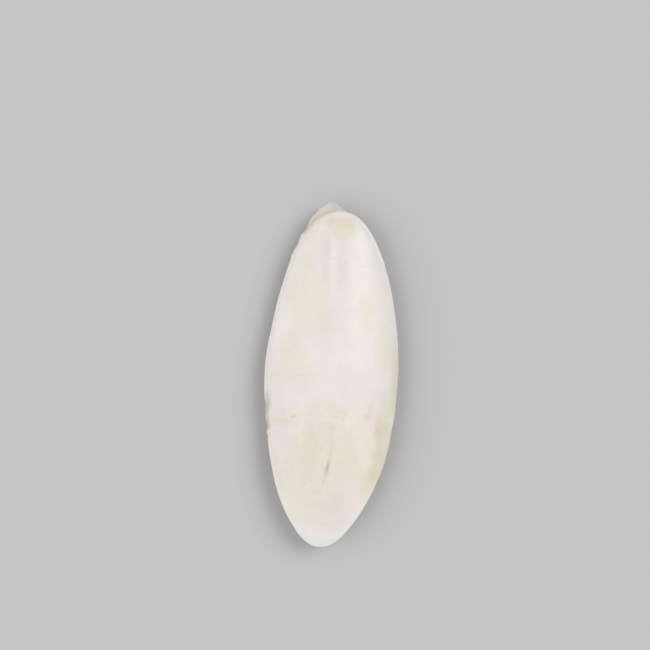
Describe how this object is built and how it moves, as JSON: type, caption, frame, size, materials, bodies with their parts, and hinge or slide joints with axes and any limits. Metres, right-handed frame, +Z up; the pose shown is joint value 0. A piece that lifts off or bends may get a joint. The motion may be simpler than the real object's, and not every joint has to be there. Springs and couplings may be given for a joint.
{
  "type": "cuttlebone",
  "caption": "Cuttlebone: a long oval chalky bone with a swollen pale face, a thin margin and a hard convex back that it rests on.",
  "frame": {"origin": "middle of the bone's bounding box, on the plane that it rests on", "axes": "+Y along the bone to its head end, +X across it, +Z up out of its chalky face"},
  "size_m": [0.041, 0.105, 0.0122],
  "materials": {
    "aragonite": "matte"
  },
  "bodies": {
    "root": {"cuttlebone": "aragonite"}
  },
  "joints": []
}
